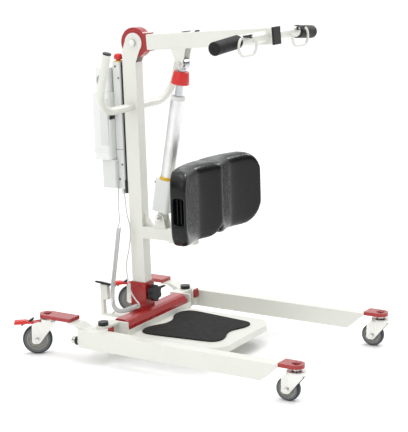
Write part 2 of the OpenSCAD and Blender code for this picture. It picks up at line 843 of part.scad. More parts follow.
// Sleeve that slides on the beam, with the post that carries the pad
module pad_carrier() {
    color("white") difference() {
        union() {
            translate([132, -25, sleeve_bottom]) cube([70, 50, 50]);
            translate([post_x, -post / 2, sleeve_bottom]) cube([post, post, 215]);
            translate([plunger_x - 12, -12, beam_top + 0.5]) cube([24, 24, 34]);
        }
        translate([110, -beam_h / 2 - slide, beam_top - beam_h - slide])
            cube([85, beam_h + 2 * slide, beam_h + 2 * slide]);
        translate([plunger_x, 0, beam_top]) cylinder(h = 60, r = 5 + run);
    }
}

module index_plunger() {
    color("black") translate([plunger_x, 0, 0]) union() {
        translate([0, 0, beam_top + 0.6]) cylinder(h = 40, r = 5);
        translate([0, 0, 437]) cylinder(h = 14, r = 8);
    }
}

module pad_bracket() {
    color("white") difference() {
        union() {
            translate([post_x - 6, -post / 2 - 6, 480]) cube([post + 12, post + 12, 76]);
            translate([post_x + post + 4, -100, 450]) cube([6, 200, 150]);
        }
        translate([post_x - 0.4, -post / 2 - 0.4, 400]) cube([post + 0.8, post + 0.8, 260]);
        pin_x(post_x - 20, post_x, 0, lock_z, stud_r + run);
    }
}

module height_knob() {
    color("black") union() {
        pin_x(post_x - 26, post_x - 8, 0, lock_z, 15);
        pin_x(post_x - 10, post_x - 0.6, 0, lock_z, stud_r);
    }
}

// Plan of the pad: two hollows for the knees, a rib between them and wings at the sides
module pad_plan() {
    polygon([for (i = [-12:12]) pad_front(i / 12), for (i = [12:-1:-12]) pad_rear(i / 12)]);
}

function pad_front(t) = [318 + 12 * cos(360 * t) + 12 * t * t, t * pad_half];
function pad_rear(t) = [238 + 50 * pow(max(0, abs(t) - 0.25) / 0.75, 1.6), t * pad_half];

// One half of the pad seen from the front, with its own radius at each corner
module pad_lobe() {
    top = pad_bottom + pad_h;
    outer = -pad_half;
    inner = 4;
    low_outer_r = 75;
    low_inner_r = 40;
    top_inner_r = 20;
    top_outer_r = 45;
    union() {
        polygon([[outer + low_outer_r, pad_bottom], [inner - low_inner_r, pad_bottom],
                 [inner, pad_bottom + low_inner_r], [inner, top - top_inner_r],
                 [inner - top_inner_r, top], [outer + top_outer_r, top],
                 [outer, top - top_outer_r], [outer, pad_bottom + low_outer_r]]);
        translate([outer + low_outer_r, pad_bottom + low_outer_r]) circle(low_outer_r);
        translate([inner - low_inner_r, pad_bottom + low_inner_r]) circle(low_inner_r);
        translate([inner - top_inner_r, top - top_inner_r]) circle(top_inner_r);
        translate([outer + top_outer_r, top - top_outer_r]) circle(top_outer_r);
    }
}

module knee_pad() {
    color("black") difference() {
        intersection() {
            translate([0, 0, pad_bottom]) linear_extrude(pad_h) pad_plan();
            translate([200, 0, 0]) rotate([90, 0, 90]) linear_extrude(200) union() {
                pad_lobe();
                mirror([1, 0]) pad_lobe();
            }
        }
        for (side = [right, left])
            translate([315, side * pad_half, pad_mid]) cube([38, 40, 82], center = true);
        translate([pad_back, -104, 446]) cube([8 + gap, 208, 158]);
    }
}

placed() base_frame();
placed() crossbar();
placed() footplate();
placed() footplate_mat();
placed() leg_pivot_bolts();
placed() leg_pivot_caps();
placed() spreader_pedal();
placed() spreader_link_right();
placed() spreader_link_left();
placed() leg_right();
placed() leg_left();
placed() castor_plates_right();
placed() castor_plates_left();
placed() rear_fork_right();
placed() rear_hub_right();
placed() rear_tyre_right();
placed() brake_pedal_right();
placed() rear_fork_left();
placed() rear_hub_left();
placed() rear_tyre_left();
placed() brake_pedal_left();
placed() front_fork_right();
placed() front_hub_right();
placed() front_tyre_right();
placed() front_fork_left();
placed() front_hub_left();
placed() front_tyre_left();
placed() mast();
placed() mast_knob();
placed() mast_lever();
placed() push_handle();
placed() mast_pins();
placed() control_rail();
placed() control_box();
placed() box_screws();
placed() battery_pack();
placed() estop_button();
placed() handset();
placed() button_up();
placed() button_down();
placed() cords();
placed() boom();
placed() pivot_drum();
placed() boom_caps();
placed() cross_tube();
placed() sling_hooks();
placed() hook_latch_right();
placed() hook_latch_left();
placed() grips();
placed() rod_pin();
placed() motor_housing();
placed() outer_tube();
placed() seal_ring();
placed() rod();
placed() rod_collar();
placed() pad_carrier();
placed() index_plunger();
placed() pad_bracket();
placed() height_knob();
placed() knee_pad();
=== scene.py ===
# Sit to stand lift: the visual model, in the shared frame. Units are metres.
import json
import math
import bmesh
import bpy
from mathutils import Euler, Matrix, Vector


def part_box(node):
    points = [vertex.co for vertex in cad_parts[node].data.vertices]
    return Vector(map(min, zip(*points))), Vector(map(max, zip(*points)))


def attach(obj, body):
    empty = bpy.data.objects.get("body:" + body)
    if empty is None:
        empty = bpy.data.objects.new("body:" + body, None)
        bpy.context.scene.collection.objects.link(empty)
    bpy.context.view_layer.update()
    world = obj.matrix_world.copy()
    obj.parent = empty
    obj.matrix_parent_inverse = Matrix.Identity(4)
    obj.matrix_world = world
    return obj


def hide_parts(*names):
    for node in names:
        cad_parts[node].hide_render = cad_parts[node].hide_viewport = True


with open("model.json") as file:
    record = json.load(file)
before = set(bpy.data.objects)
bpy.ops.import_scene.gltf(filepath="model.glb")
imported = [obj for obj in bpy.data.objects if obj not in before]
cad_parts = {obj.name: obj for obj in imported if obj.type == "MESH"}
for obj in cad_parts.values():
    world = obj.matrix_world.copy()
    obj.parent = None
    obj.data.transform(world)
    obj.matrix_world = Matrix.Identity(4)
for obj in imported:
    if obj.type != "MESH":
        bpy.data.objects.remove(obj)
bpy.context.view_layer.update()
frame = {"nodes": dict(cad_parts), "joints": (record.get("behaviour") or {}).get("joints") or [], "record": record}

MM = 0.001
NODES = frame["nodes"]

# ------------------------------------------------------------------ materials


class Shader:
    """A Principled material with a few short ways to add procedural detail to it."""

    def __init__(self, name, colour, roughness, metallic=0.0, coat=0.0, sheen=0.0, shine=0.5):
        self.mat = bpy.data.materials.new(name)
        self.mat.use_nodes = True
        self.tree = self.mat.node_tree
        self.bsdf = self.tree.nodes["Principled BSDF"]
        self.bsdf.inputs["Roughness"].default_value = roughness
        self.bsdf.inputs["Metallic"].default_value = metallic
        self.bsdf.inputs["Coat Weight"].default_value = coat
        self.bsdf.inputs["Specular IOR Level"].default_value = shine
        self.bsdf.inputs["Coat Roughness"].default_value = 0.12
        self.bsdf.inputs["Sheen Weight"].default_value = sheen
        self.bsdf.inputs["Sheen Roughness"].default_value = 0.5
        self.colour = self.rgb(colour)
        self.height = None
        self.coords = self.add("ShaderNodeTexCoord").outputs["Object"]

    def add(self, kind, **settings):
        node = self.tree.nodes.new(kind)
        for key, value in settings.items():
            setattr(node, key, value)
        return node

    def link(self, a, b):
        self.tree.links.new(a, b)

    def rgb(self, colour):
        node = self.add("ShaderNodeRGB")
        node.outputs[0].default_value = (*colour, 1.0)
        return node.outputs[0]

    def stretched(self, scale):
        node = self.add("ShaderNodeMapping")
        node.inputs["Scale"].default_value = scale
        self.link(self.coords, node.inputs["Vector"])
        return node.outputs["Vector"]

    def noise(self, scale, detail=4.0, coords=None):
        node = self.add("ShaderNodeTexNoise")
        node.inputs["Scale"].default_value = scale
        node.inputs["Detail"].default_value = detail
        self.link(coords or self.coords, node.inputs["Vector"])
        return node.outputs["Fac"]

    def cells(self, scale):
        node = self.add("ShaderNodeTexVoronoi")
        node.inputs["Scale"].default_value = scale
        self.link(self.coords, node.inputs["Vector"])
        return node.outputs["Distance"]

    def remap(self, value, low, high, to_low, to_high):
        node = self.add("ShaderNodeMapRange")
        self.link(value, node.inputs["Value"])
        node.inputs["From Min"].default_value = low
        node.inputs["From Max"].default_value = high
        node.inputs["To Min"].default_value = to_low
        node.inputs["To Max"].default_value = to_high
        return node.outputs["Result"]

    def tint(self, mask, colour):
        """Mixes another colour over the base where the mask is 1."""
        node = self.add("ShaderNodeMix", data_type="RGBA")
        self.link(mask, node.inputs["Factor"])
        self.link(self.colour, node.inputs["A"])
        node.inputs["B"].default_value = (*colour, 1.0)
        self.colour = node.outputs["Result"]

    def roughen(self, value, low, high):
        self.link(self.remap(value, 0.3, 0.7, low, high), self.bsdf.inputs["Roughness"])

    def bump(self, value, strength, depth):
        """A layer of relief, depth in metres."""
        node = self.add("ShaderNodeBump")
        node.inputs["Strength"].default_value = strength
        node.inputs["Distance"].default_value = depth
        self.link(value, node.inputs["Height"])
        if self.height:
            self.link(self.height, node.inputs["Normal"])
        self.height = node.outputs["Normal"]

    def painted_edge_highlight(self, radius, colour, amount):
        """Tints outer edges towards a colour, in patches, where the bevelled normal leaves the true one; every
        finish here gives a paler colour, a painted edge highlight.
        """
        bevel = self.add("ShaderNodeBevel", samples=4)
        bevel.inputs["Radius"].default_value = radius
        geometry = self.add("ShaderNodeNewGeometry")
        dot = self.add("ShaderNodeVectorMath", operation="DOT_PRODUCT")
        self.link(bevel.outputs["Normal"], dot.inputs[0])
        self.link(geometry.outputs["Normal"], dot.inputs[1])
        edge = self.remap(dot.outputs["Value"], 0.995, 0.85, 0.0, amount)
        patchy_highlight = self.add("ShaderNodeMath", operation="MULTIPLY")
        self.link(edge, patchy_highlight.inputs[0])
        self.link(self.remap(self.noise(90.0), 0.4, 0.65, 0.2, 1.0), patchy_highlight.inputs[1])
        self.tint(patchy_highlight.outputs[0], colour)

    def done(self):
        self.link(self.colour, self.bsdf.inputs["Base Color"])
        if self.height:
            self.link(self.height, self.bsdf.inputs["Normal"])
        return self.mat


def powder_coat(name, colour, shade, roughness, shine=0.4, coat=0.08):
    """Powder-coated steel: fine orange peel, slight cloudiness, and edges a little paler from a painted highlight.
    """
    s = Shader(name, colour, roughness, coat=coat, shine=shine)
    s.tint(s.remap(s.noise(5.0), 0.35, 0.75, 0.0, 0.2), shade)
    # Painted edge highlight: outer edges lightened towards a paler paint colour.
    s.painted_edge_highlight(0.0015, [min(1.0, c * 1.35 + 0.03) for c in colour], 0.35)
    s.roughen(s.noise(18.0), roughness - 0.03, roughness + 0.04)
    s.bump(s.noise(900.0, 2.0), 0.06, 0.0002)
    return s.done()


def moulded(name, colour, shade, roughness, grain=0.15, shine=0.35):
    """Moulded plastic with a fine spark-eroded grain, and edges a little paler from a painted highlight."""
    s = Shader(name, colour, roughness, shine=shine)
    s.tint(s.remap(s.noise(9.0), 0.35, 0.7, 0.0, 0.4), shade)
    # Painted edge highlight: outer edges lightened towards a paler plastic colour.
    s.painted_edge_highlight(0.001, [min(1.0, c * 1.3 + 0.02) for c in colour], 0.3)
    s.roughen(s.noise(60.0), roughness - 0.06, roughness + 0.08)
    s.bump(s.cells(1400.0), grain, 0.0002)
    return s.done()


def metal(name, colour, roughness, stretch):
    """Bare or plated metal with fine drawn lines along one direction."""
    s = Shader(name, colour, roughness, metallic=1.0)
    lines = s.noise(600.0, 3.0, s.stretched(stretch))
    s.tint(s.remap(s.noise(14.0), 0.4, 0.7, 0.0, 0.5), [c * 0.72 for c in colour])
    s.roughen(lines, roughness * 0.75, roughness * 1.35)
    s.bump(lines, 0.12, 0.0001)
    return s.done()


def soft_vinyl(name, colour, shade, roughness):
    """Wipe-clean moulded foam skin: a fine leather-like grain with a soft shine."""
    s = Shader(name, colour, roughness, shine=0.27)
    s.tint(s.remap(s.noise(7.0), 0.35, 0.7, 0.0, 0.6), shade)
    s.roughen(s.noise(30.0), roughness - 0.05, roughness + 0.08)
    s.bump(s.cells(800.0), 0.28, 0.00035)
    s.bump(s.noise(22.0, 3.0), 0.12, 0.0012)
    return s.done()


def sponge(name, colour, shade, roughness, shine=0.22):
    """Closed-cell foam or rubber with visible pores."""
    s = Shader(name, colour, roughness, sheen=0.05, shine=shine)
    s.tint(s.remap(s.cells(900.0), 0.0, 0.5, 0.6, 0.0), shade)
    s.roughen(s.noise(50.0), roughness - 0.06, roughness + 0.06)
    s.bump(s.cells(1100.0), 0.5, 0.0004)
    s.bump(s.noise(60.0), 0.15, 0.0008)
    return s.done()


WHITE_PAINT = powder_coat("white_paint", (0.67, 0.67, 0.615), (0.585, 0.59, 0.525), 0.34)
DEEP_RED = powder_coat("deep_red_paint", (0.32, 0.014, 0.013), (0.22, 0.010, 0.010), 0.26, 0.45, 0.25)
RED_GLOSS = moulded("bright_red_plastic", (0.60, 0.030, 0.026), (0.44, 0.020, 0.018), 0.28, 0.05)
BLACK_PLASTIC = moulded("black_plastic", (0.010, 0.010, 0.011), (0.017, 0.017, 0.018), 0.36)
GREY_PLASTIC = moulded("grey_plastic", (0.63, 0.64, 0.62), (0.54, 0.55, 0.535), 0.42)
WHITE_PLASTIC = moulded("white_plastic", (0.72, 0.73, 0.71), (0.62, 0.64, 0.62), 0.40)
YELLOW = moulded("yellow_plastic", (0.66, 0.40, 0.02), (0.52, 0.31, 0.02), 0.35, 0.08)
HUB = moulded("hub_plastic", (0.27, 0.265, 0.24), (0.20, 0.195, 0.18), 0.45)
CORD = moulded("cord_jacket", (0.58, 0.59, 0.57), (0.44, 0.45, 0.44), 0.40, 0.10)
PAD = soft_vinyl("pad_foam", (0.004, 0.004, 0.0045), (0.007, 0.007, 0.0075), 0.25)
GRIP = sponge("grip_foam", (0.010, 0.010, 0.011), (0.004, 0.004, 0.004), 0.62)
MAT = sponge("mat_rubber", (0.010, 0.010, 0.0095), (0.005, 0.005, 0.005), 0.65, 0.07)
TYRE = sponge("tyre_rubber", (0.030, 0.034, 0.042), (0.020, 0.023, 0.028), 0.50)
TYRE_WALL = sponge("tyre_wall_rubber", (0.115, 0.125, 0.125), (0.085, 0.092, 0.092), 0.45)
# Painted shade: a dark red that stands in for the shade inside the round recess round each kingpin.
RECESS_SHADE = powder_coat("shaded_red_paint", (0.10, 0.004, 0.006), (0.07, 0.003, 0.005), 0.5, 0.2)
ZINC = metal("bright_zinc", (0.72, 0.71, 0.68), 0.24, (1.0, 1.0, 0.08))
CHROME = metal("chrome", (0.50, 0.51, 0.52), 0.05, (1.0, 1.0, 0.05))
DARK_STEEL = metal("dark_steel", (0.16, 0.16, 0.165), 0.30, (1.0, 1.0, 0.2))
ALUMINIUM = metal("satin_aluminium", (0.84, 0.84, 0.83), 0.42, (1.0, 1.0, 0.03))

MATERIALS = {
    "white_paint": WHITE_PAINT, "deep_red_paint": DEEP_RED, "bright_red_plastic": RED_GLOSS,
    "black_plastic": BLACK_PLASTIC, "pad_foam": PAD, "grip_foam": GRIP, "mat_rubber": MAT,
    "bright_zinc": ZINC, "chrome": CHROME, "satin_aluminium": ALUMINIUM,
    "grey_plastic": GREY_PLASTIC, "white_plastic": WHITE_PLASTIC, "yellow_plastic": YELLOW,
    "hub_plastic": HUB, "tyre_rubber": TYRE, "cord_jacket": CORD,
}

for part in frame["record"]["subparts"]:
    NODES[part["node"]].data.materials.clear()
    NODES[part["node"]].data.materials.append(MATERIALS[part["material_slot"]])

NODES["box_screws"].data.materials[0] = DARK_STEEL

# ------------------------------------------------------------------ building blocks


def node_box(name):
    """(low corner, high corner, centre) of a CAD node as vectors."""
    low, high = (Vector(corner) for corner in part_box(name))
    return low, high, (low + high) / 2


def joint(name):
    return next(j for j in frame["joints"] if j["name"] == name)


def put(name, mesh, material, body, smooth=35.0):
    """Makes an object of a mesh, with its finish, on a body. Edges sharper than smooth stay sharp."""
    obj = bpy.data.objects.new(name, mesh)
    bpy.context.collection.objects.link(obj)
    mesh.materials.clear()
    mesh.materials.append(material)
    if smooth is not None:
        mesh.shade_smooth()
        mesh.set_sharp_from_angle(angle=math.radians(smooth))
    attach(obj, body)
    return obj


def from_bmesh(name, bm):
    mesh = bpy.data.meshes.new(name)
    bmesh.ops.recalc_face_normals(bm, faces=bm.faces)
    bm.to_mesh(mesh)
    bm.free()
    return mesh


def rounded(obj, width, segments=3, angle=32.0):
    """Rounds an object's sharp edges with a bevel."""
    bevel = obj.modifiers.new("edges", "BEVEL")
    bevel.width = width
    bevel.segments = segments
    bevel.limit_method = "ANGLE"
    bevel.angle_limit = math.radians(angle)
    bevel.harden_normals = False
    return obj


def axis_matrix(origin, axis):
    """A matrix that puts local +Z along axis, at origin."""
    turn = Vector(axis).normalized().to_track_quat("Z", "Y").to_matrix().to_4x4()
    return Matrix.Translation(Vector(origin)) @ turn


def lathe(name, outline, matrix, material, body, steps=72, smooth=35.0):
    """Turns an outline of (radius, height) points about local Z.

    Both of its ends lie on the axis, or else the loop closes on itself."""
    bm = bmesh.new()
    rings = []
    for radius, height in outline:
        if radius < 1e-6:
            rings.append([bm.verts.new((0, 0, height))])
            continue
        ring = []
        for i in range(steps):
            a = 2 * math.pi * i / steps
            ring.append(bm.verts.new((radius * math.cos(a), radius * math.sin(a), height)))
        rings.append(ring)
    closed = outline[0][0] > 1e-6 and outline[-1][0] > 1e-6
    pairs = list(zip(rings, rings[1:])) + ([(rings[-1], rings[0])] if closed else [])
    for low, high in pairs:
        if len(low) == len(high) == 1:
            continue
        for i in range(steps):
            j = (i + 1) % steps
            if len(low) == 1:
                bm.faces.new((low[0], high[i], high[j]))
            elif len(high) == 1:
                bm.faces.new((low[i], low[j], high[0]))
            else:
                bm.faces.new((low[i], low[j], high[j], high[i]))
    mesh = from_bmesh(name, bm)
    mesh.transform(matrix)
    return put(name, mesh, material, body, smooth)


def block(name, low, high, material, body, radius=0.0015, segments=3, matrix=None):
    """A box between two corners with round edges."""
    bm = bmesh.new()
    bmesh.ops.create_cube(bm, size=1.0)
    low, high = Vector(low), Vector(high)
    bmesh.ops.scale(bm, vec=high - low, verts=bm.verts)
    bmesh.ops.translate(bm, vec=(low + high) / 2, verts=bm.verts)
    bmesh.ops.bevel(bm, geom=bm.edges[:], offset=radius, segments=segments, profile=0.5, affect="EDGES")
    mesh = from_bmesh(name, bm)
    if matrix:
        mesh.transform(matrix)
    return put(name, mesh, material, body, 40.0)


def sweep(name, points, radius, material, body, steps=14, smooth_path=True):
    """A round bar or cord along points, with closed ends."""
    curve = bpy.data.curves.new(name, "CURVE")
    curve.dimensions = "3D"
    curve.bevel_depth = radius
    curve.bevel_resolution = max(1, steps // 4)
    curve.use_fill_caps = True
    curve.resolution_u = 8
    spline = curve.splines.new("BEZIER" if smooth_path else "POLY")
    if smooth_path:
        spline.bezier_points.add(len(points) - 1)
        for p, co in zip(spline.bezier_points, points):
            p.co = co
            p.handle_left_type = p.handle_right_type = "AUTO"
    else:
        spline.points.add(len(points) - 1)
        for p, co in zip(spline.points, points):
            p.co = (*co, 1.0)
    holder = bpy.data.objects.new(name + "_curve", curve)
    bpy.context.collection.objects.link(holder)
    mesh = bpy.data.meshes.new_from_object(holder)
    bpy.data.objects.remove(holder)
    return put(name, mesh, material, body, 60.0)


def hexagon(name, across, height, matrix, material, body):
    bm = bmesh.new()
    bmesh.ops.create_cone(bm, cap_ends=True, segments=6, radius1=across / math.sqrt(3),
                          radius2=across / math.sqrt(3), depth=height)
    bmesh.ops.translate(bm, vec=(0, 0, height / 2), verts=bm.verts)
    mesh = from_bmesh(name, bm)
    mesh.transform(matrix)
    return rounded(put(name, mesh, material, body, 20.0), 0.0008, 2)

# ------------------------------------------------------------------ shared places

MAST_X = node_box("mast")[0].x + 26 * MM      # the mast's axis, where the CAD counts X from


def spot(x, y, z):
    """A point in millimetres: x in front of the mast's axis, y to the carer's left, z above the floor."""
    return Vector((MAST_X + x * MM, y * MM, z * MM))


SIDES = (("right", -1), ("left", 1))

# Places in millimetres, as spot() counts them, and angles from the upright or the level.
BOOM_PIVOT = (20, 1016)                       # X and Z
BOOM_TILT = math.radians(3.4)
CROSS_AT = (517.1, 1045.5)                    # the cross tube's middle, X and Z
ARM_ROOT = 160.0                              # where its two arms start, out from the mirror plane
ARM_DROOP = math.radians(5.0)
ARM_SWEEP = math.radians(4.0)
GRIP_FROM = 22.0                              # where a grip starts along its arm
ACTUATOR_PIN = (95, 437)                      # X and Z
ACTUATOR_LEAN = math.radians(11.33)
HANDLE_BEND = (5, 212, 806)                   # where the push handle turns up
HANDLE_UP = 200                               # how far it then runs
HANDLE_LEAN = math.radians(15.0)
LEG_STUB = (-46, 300, 72)                     # the end of the stub behind a leg tube
PEDAL_PLATE = (-157, 0, 176)                  # the middle of the spreader pedal's plate
PEDAL_PITCH = math.radians(5)
PEDAL_ROLL = math.radians(-19)
STOP_AT = (-50, -8)                           # the stop button on the control box, X and Y
BATTERY_NEAR = -54                            # the battery's near face, Y
BOX_NEAR = -24                                # the control box's near face, Y

# Castor measurements in millimetres: half the tyre's width, the top of the plate over it, the underside and
# the radius of its ball race, and how far out the axle's nuts sit.
CASTORS = {
    "rear": {"half_tyre": 13.5, "plate_top": 138, "race_low": 112, "race_r": 28, "nut_at": 22.2},
    "front": {"half_tyre": 12.0, "plate_top": 118, "race_low": 86, "race_r": 30, "nut_at": 20.7},
}
PLATE_THICK = 12.0
REAR_SWIVEL = 35.0                            # degrees both rear castors are turned at rest

# ------------------------------------------------------------------ wheels


def rounded_tyre(radius, half):
    """Outline of a tyre's tread: crowned, and rolled over towards both side walls."""
    inner = radius * 0.75
    points = [(inner, -half + 0.0015), (radius * 0.86, -half + 0.0006)]
    for i in range(13):
        a = math.radians(-80 + 160 * i / 12)
        points.append((radius * 0.90 + radius * 0.10 * math.cos(a), half * math.sin(a) * 0.98))
    points += [(radius * 0.86, half - 0.0006), (inner, half - 0.0015)]
    return points


def side_walls(radius, half):
    """Outline of the paler rubber between the tread and the hub, on both faces of the wheel."""
    face = [(radius * 0.72, half - 0.0012), (radius * 0.735, half + 0.0002), (radius * 0.80, half + 0.0006),
            (radius * 0.865, half + 0.0001), (radius * 0.875, half - 0.001)]
    return face + [(r, -h) for r, h in reversed(face)]


def ringed_hub(radius, half):
    """Outline of a moulded hub: a rim, a dished web with a raised ring, and a bearing boss."""
    rim = radius * 0.718
    side = [
        (5.2 * MM, half + 0.0018), (10.0 * MM, half + 0.0018), (11.0 * MM, half + 0.0008),
        (12.0 * MM, half - 0.005), (radius * 0.40, half - 0.0065), (radius * 0.42, half - 0.0045),
        (radius * 0.46, half - 0.0045), (radius * 0.48, half - 0.0065), (radius * 0.60, half - 0.006),
        (radius * 0.63, half - 0.0012), (rim, half - 0.0018),
    ]
    return side + [(r, -h) for r, h in reversed(side)]


def build_wheel(end, side):
    """A wheel on its axle: tread, side walls, spoked hub and bearing sleeve."""
    tyre = node_box(f"{end}_tyre_{side}")
    spin = joint(f"{end}_{side}_spin")
    radius = (tyre[1].z - tyre[0].z) / 2
    half = CASTORS[end]["half_tyre"] * MM
    matrix = axis_matrix(spin["pos_m"], spin["axis"])
    body = f"{end}_{side}_wheel"
    rubber = lathe(f"{end}_{side}_tyre_rubber", rounded_tyre(radius, half), matrix, TYRE, body, 96)
    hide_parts(f"{end}_tyre_{side}")
    lathe(f"{end}_{side}_tyre_walls", side_walls(radius, half), matrix, TYRE_WALL, body, 96, 25.0)
    hub = lathe(f"{end}_{side}_hub_rings", ringed_hub(radius, half), matrix, HUB, body, 72, 30.0)
    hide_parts(f"{end}_hub_{side}")
    bearing = [(5.2 * MM, -half - 0.0020), (8.5 * MM, -half - 0.0020), (8.5 * MM, half + 0.0020),
               (5.2 * MM, half + 0.0020)]
    lathe(f"{end}_{side}_bearing", bearing, matrix, ZINC, body, 48)
    for i in range(5):
        a = 2 * math.pi * i / 5
        turn = matrix @ Matrix.Rotation(a, 4, "Z")
        inner, outer = 11.5 * MM, radius * 0.62
        block(f"{end}_{side}_spoke_{i}", (inner, -0.0016, -half + 0.0045),
              (outer, 0.0016, half - 0.0045), HUB, body, 0.0006, 2, turn)


for wheel_end in ("rear", "front"):
    for wheel_side, _ in SIDES:
        build_wheel(wheel_end, wheel_side)

# ------------------------------------------------------------------ castor hardware


def build_castor_hardware(end, side):
    """Turned race cover over the crown, a nut on the plate, and a nut on the axle."""
    swivel = joint(f"{end}_{side}_swivel")
    spin = joint(f"{end}_{side}_spin")
    sizes = CASTORS[end]
    plate_top = sizes["plate_top"] * MM
    race_low = sizes["race_low"] * MM
    race = sizes["race_r"] * MM
    at = Vector(swivel["pos_m"])
    body = f"{end}_{side}_castor"
    room = plate_top - PLATE_THICK * MM - race_low
    cover = [(6.3 * MM, 0.0102), (15 * MM, 0.0102), (17 * MM, 0.0112), (14.2 * MM, 0.0122),
             (14.2 * MM, room - 0.0006), (6.3 * MM, room - 0.0006)]
    lathe(f"{end}_{side}_race_seal", cover, Matrix.Translation((at.x, at.y, race_low)), ZINC, body)
    lip = [(race - 0.001, 0.0015), (race + 0.0006, 0.002), (race + 0.0012, 0.005),
           (race + 0.0006, 0.008), (race - 0.001, 0.0085)]
    lathe(f"{end}_{side}_race_lip", lip, Matrix.Translation((at.x, at.y, race_low)), ZINC, body)
    top = Matrix.Translation((at.x, at.y, plate_top))
    # A thin dark disc on the plate's top paints the shade of the round recess round the kingpin.
    recess_shade_disc = [(0.0, 0.0004), (13.5 * MM, 0.0004), (14.5 * MM, 0.0001), (0.0, 0.0001)]
    lathe(f"{end}_{side}_plate_recess_shade", recess_shade_disc, top, RECESS_SHADE, f"{side}_leg", 48)
    bolt = [(0.0, 0.0004), (8.6 * MM, 0.0004), (8.6 * MM, 0.0028), (7.0 * MM, 0.0042), (3.4 * MM, 0.0046),
            (3.2 * MM, 0.0034), (0.0, 0.0034)]
    lathe(f"{end}_{side}_kingpin_bolt", bolt, top, DEEP_RED, f"{side}_leg", 36)
    for sign in (-1, 1):
        axle = axis_matrix(spin["pos_m"], Vector(spin["axis"]) * sign)
        hexagon(f"{end}_{side}_axle_nut_{'a' if sign < 0 else 'b'}", 13 * MM, 4.5 * MM,
                axle @ Matrix.Translation((0, 0, (sizes["nut_at"] - 0.5) * MM)), ZINC, body)


for wheel_end in ("rear", "front"):
    for wheel_side, _ in SIDES:
        build_castor_hardware(wheel_end, wheel_side)


def build_leg_plugs():
    """A black bush and a bright cap on the stub behind each leg tube."""
    for side, sign in SIDES:
        x, y, z = LEG_STUB
        stub = axis_matrix(spot(x, sign * y, z), (-1, 0, 0))
        bush = [(11.0 * MM, 0.0002), (14.5 * MM, 0.0002), (15.0 * MM, 0.001), (15.0 * MM, 0.009),
                (14.0 * MM, 0.0105), (11.05 * MM, 0.0105)]
        lathe(f"leg_bush_{side}", bush + bush[:1], stub, BLACK_PLASTIC, f"{side}_leg", 48)
        cap = [(11.05 * MM, 0.0115), (11.9 * MM, 0.012), (12.2 * MM, 0.014), (12.2 * MM, 0.0225),
               (11.0 * MM, 0.0248), (0.0, 0.0256)]
        lathe(f"leg_cap_{side}", [(0.0, 0.0246), (11.05 * MM, 0.0241)] + cap, stub, ZINC, f"{side}_leg", 48)


build_leg_plugs()

# ------------------------------------------------------------------ brake levers


def build_brake_levers(side):
    """The release tab, the brake shoe and the ribbed tread of a braked castor, all on its pedal."""
    x, y, _ = joint(f"rear_{side}_swivel")["pos_m"]
    fork = Matrix.Translation((x, y, 0)) @ Matrix.Rotation(math.radians(REAR_SWIVEL), 4, "Z")
    body = f"{side}_brake"

    def on_fork(behind, height, pitch=0.0):
        place = fork @ Matrix.Translation((-behind * MM, 0, height * MM))
        return place @ Matrix.Rotation(math.radians(pitch), 4, "Y")

    block(f"brake_release_{side}", (-11 * MM, -9 * MM, -3.0 * MM), (9 * MM, 9 * MM, 3.0 * MM),
          BLACK_PLASTIC, body, 1.4 * MM, 3, on_fork(55, 117.5, -32))
    block(f"brake_shoe_{side}", (-9 * MM, -7 * MM, -2.0 * MM), (7 * MM, 7 * MM, 2.0 * MM),
          BLACK_PLASTIC, body, 1.0 * MM, 3, on_fork(82, 104, -38))
    rim = on_fork(92, 114)
    block(f"brake_tread_{side}", (-17 * MM, -14 * MM, -1.0 * MM), (13 * MM, 14 * MM, 1.4 * MM),
          RED_GLOSS, body, 0.9 * MM, 3, rim)
    for n in range(4):
        x = (-12 + 7 * n) * MM
        block(f"brake_grip_{side}_{n}", (x, -12 * MM, 1.0 * MM), (x + 2.4 * MM, 12 * MM, 2.3 * MM),
              RED_GLOSS, body, 0.6 * MM, 2, rim)


for wheel_side, _ in SIDES:
    build_brake_levers(wheel_side)

# ------------------------------------------------------------------ hand grips and handle ends


def arm_matrix(sign, along):
    """Local +Z runs out along an arm of the cross tube, from a point along it in millimetres."""
    level = math.cos(ARM_DROOP)
    out = Vector((-math.sin(ARM_SWEEP) * level, sign * math.cos(ARM_SWEEP) * level, -math.sin(ARM_DROOP)))
    root = spot(CROSS_AT[0], sign * ARM_ROOT, CROSS_AT[1])
    return axis_matrix(root + out * along * MM, out)


def build_grips():
    """A ribbed foam grip and a thin black ring at the root of each, one on either arm."""
    for side, sign in SIDES:
        outline = [(17.05 * MM, 0.0), (19.5 * MM, 0.0), (20.6 * MM, 0.0012)]
        for i in range(1, 24):
            outline.append(((20.35 + 0.3 * (i % 2)) * MM, 0.0012 + i * 0.0046))
        for i in range(7):
            a = math.radians(90 * i / 6)
            outline.append(((15.5 + 5.2 * math.cos(a)) * MM, (115.0 + 5.2 * math.sin(a)) * MM))
        outline += [(6 * MM, 120.2 * MM), (5 * MM, 119.0 * MM), (0.0, 119.0 * MM)]
        outline = [(0.0, 113.9 * MM), (17.0 * MM, 113.9 * MM)] + outline
        grip = lathe(f"grip_{side}", outline, arm_matrix(sign, GRIP_FROM), GRIP, "lift_boom", 64, 50.0)
        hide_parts("grips")
        collar = [(17.05 * MM, -0.004), (18.6 * MM, -0.004), (19.0 * MM, -0.003), (19.0 * MM, -0.0003),
                  (17.05 * MM, -0.0003)]
        lathe(f"grip_ring_{side}", collar, arm_matrix(sign, GRIP_FROM), BLACK_PLASTIC, "lift_boom")


build_grips()


